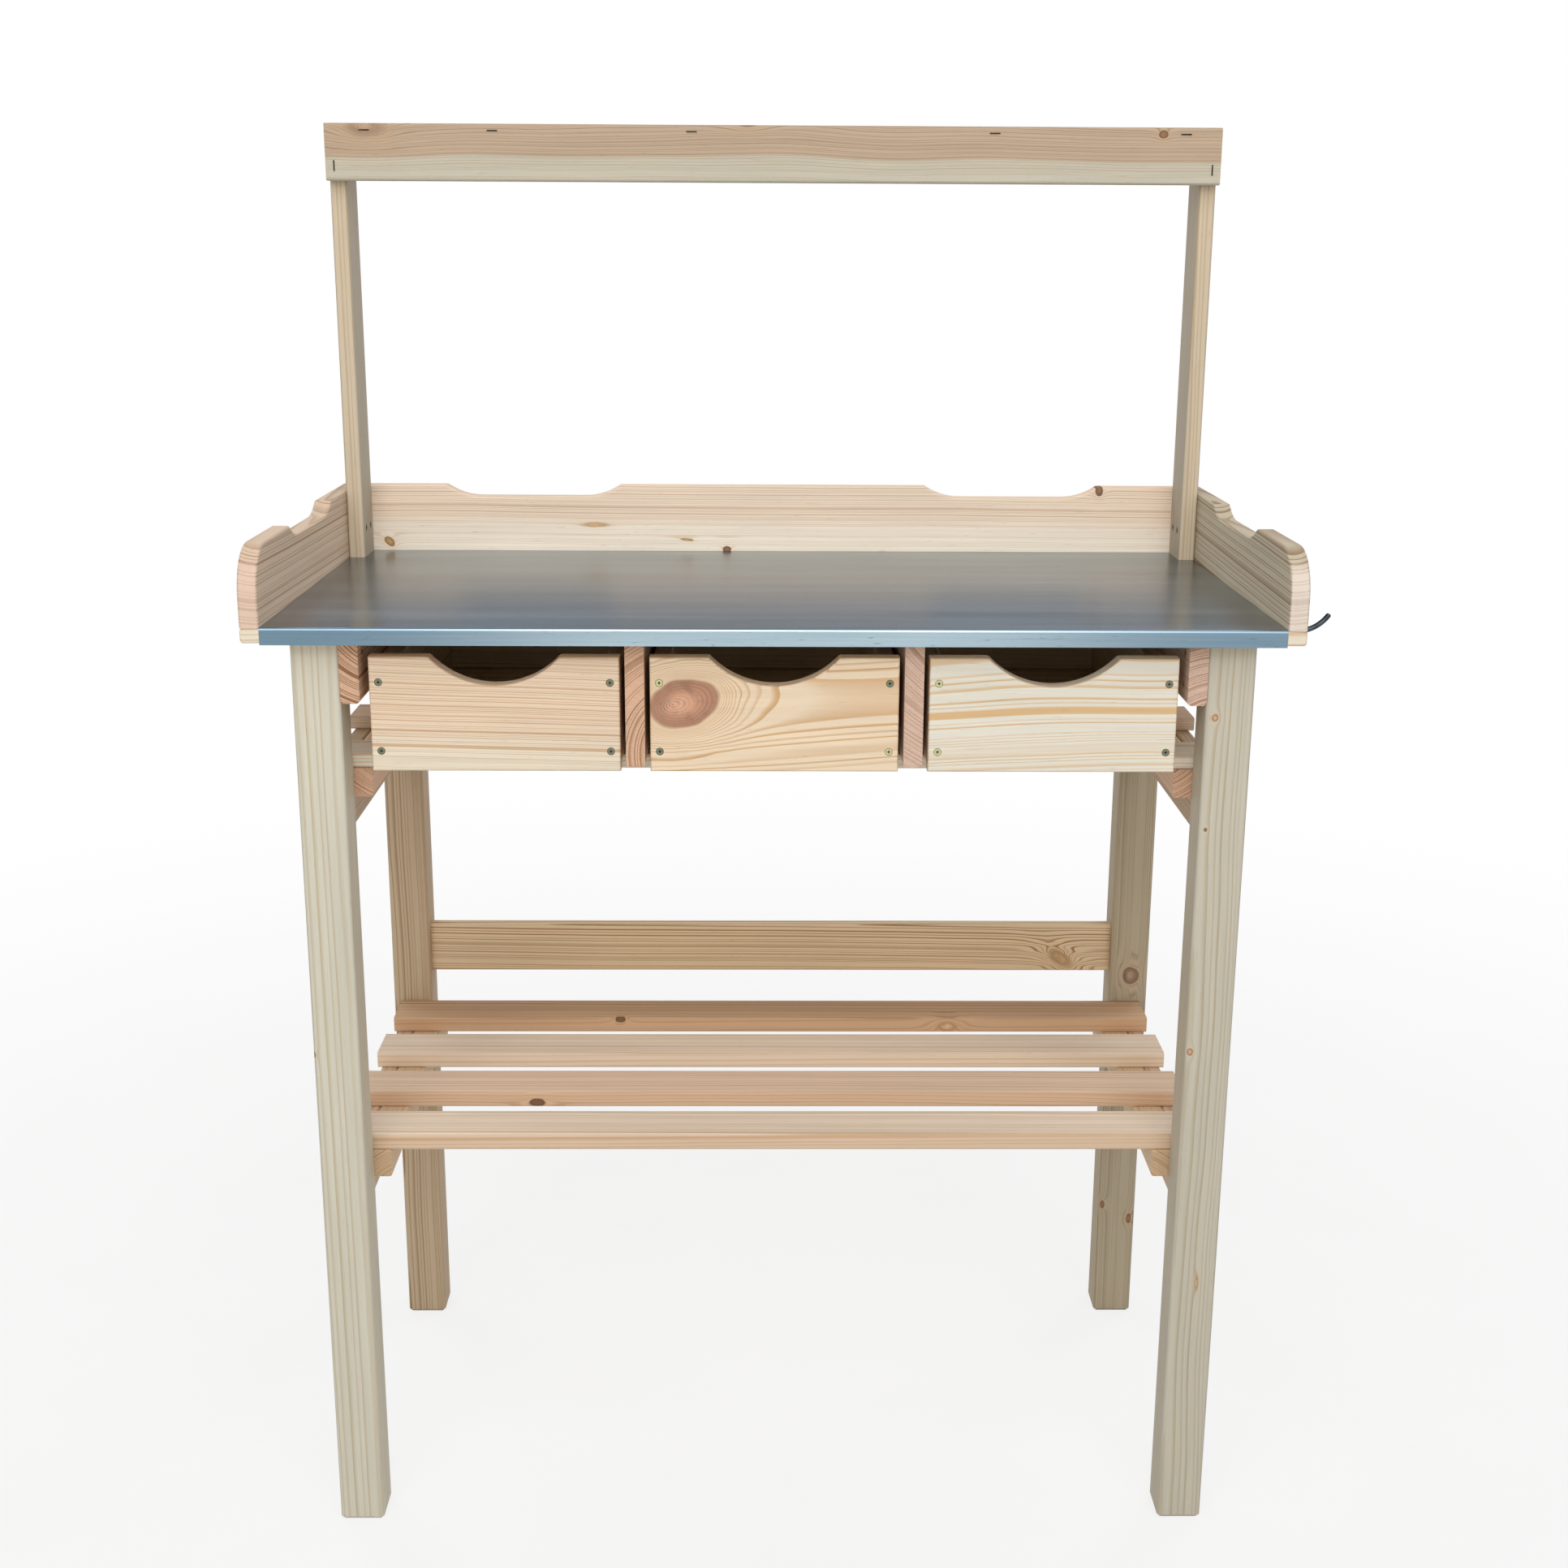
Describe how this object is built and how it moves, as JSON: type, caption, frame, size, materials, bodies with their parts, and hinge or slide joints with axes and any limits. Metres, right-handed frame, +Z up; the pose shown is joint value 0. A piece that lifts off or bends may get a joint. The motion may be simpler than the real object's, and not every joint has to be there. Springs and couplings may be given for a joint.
{
  "type": "potting bench",
  "caption": "Free-standing softwood potting bench with a zinc worktop, raised edge boards, sliding drawers with finger cut-outs, slatted shelves and a top ledge on posts.",
  "frame": {"origin": "on the floor, under the middle of the worktop", "axes": "+Z up; -Y towards the drawers and the person using the bench; +X to that person's right"},
  "size_m": [1.011, 0.495, 1.414],
  "materials": {
    "softwood_pale": "planed, unfinished",
    "softwood_tan": "planed, unfinished",
    "hardwood_dowel": "turned",
    "zinc": "satin zinc sheet",
    "screw_steel": "zinc plated",
    "hook_steel": "dark grey"
  },
  "bodies": {
    "frame": {"back_board": "softwood_tan", "back_leg_left": "softwood_tan", "back_leg_right": "softwood_tan", "back_stretcher": "softwood_tan", "drawer_divider_left": "softwood_tan", "drawer_divider_right": "softwood_tan", "drawer_shelf_cleat_left": "softwood_tan", "drawer_shelf_cleat_right": "softwood_tan", "drawer_shelf_slat_1": "softwood_tan", "drawer_shelf_slat_2": "softwood_tan", "drawer_shelf_slat_3": "softwood_tan", "drawer_side_stretcher_left": "softwood_tan", "drawer_side_stretcher_right": "softwood_tan", "frame_dowels": "hardwood_dowel", "frame_screws": "screw_steel", "front_leg_left": "softwood_pale", "front_leg_right": "softwood_pale", "ledge_board": "softwood_tan", "ledge_fascia": "softwood_tan", "ledge_post_left": "softwood_tan", "ledge_post_right": "softwood_tan", "ledge_staples": "screw_steel", "lower_shelf_cleat_left": "softwood_tan", "lower_shelf_cleat_right": "softwood_tan", "lower_shelf_slat_1": "softwood_tan", "lower_shelf_slat_2": "softwood_tan", "lower_shelf_slat_3": "softwood_tan", "lower_shelf_slat_4": "softwood_tan", "lower_side_stretcher_left": "softwood_tan", "lower_side_stretcher_right": "softwood_tan", "post_screws": "screw_steel", "side_board_left": "softwood_tan", "side_board_right": "softwood_tan", "tool_hook": "hook_steel", "top_rail_left": "softwood_tan", "top_rail_right": "softwood_tan", "worktop_board": "softwood_tan", "zinc_sheet": "zinc"},
    "drawer_left": {"drawer_left_back": "softwood_pale", "drawer_left_bottom": "softwood_pale", "drawer_left_front": "softwood_pale", "drawer_left_screws": "screw_steel", "drawer_left_side_left": "softwood_pale", "drawer_left_side_right": "softwood_pale"},
    "drawer_middle": {"drawer_middle_back": "softwood_pale", "drawer_middle_bottom": "softwood_pale", "drawer_middle_front": "softwood_pale", "drawer_middle_screws": "screw_steel", "drawer_middle_side_left": "softwood_pale", "drawer_middle_side_right": "softwood_pale"},
    "drawer_right": {"drawer_right_back": "softwood_pale", "drawer_right_bottom": "softwood_pale", "drawer_right_front": "softwood_pale", "drawer_right_screws": "screw_steel", "drawer_right_side_left": "softwood_pale", "drawer_right_side_right": "softwood_pale"}
  },
  "joints": [
    {"name": "drawer_left_slide", "type": "slide", "parent": "frame", "child": "drawer_left", "axis": [0, -1, 0], "range_m": [0, 0.28]},
    {"name": "drawer_middle_slide", "type": "slide", "parent": "frame", "child": "drawer_middle", "axis": [0, -1, 0], "range_m": [0, 0.28]},
    {"name": "drawer_right_slide", "type": "slide", "parent": "frame", "child": "drawer_right", "axis": [0, -1, 0], "range_m": [0, 0.28]}
  ]
}
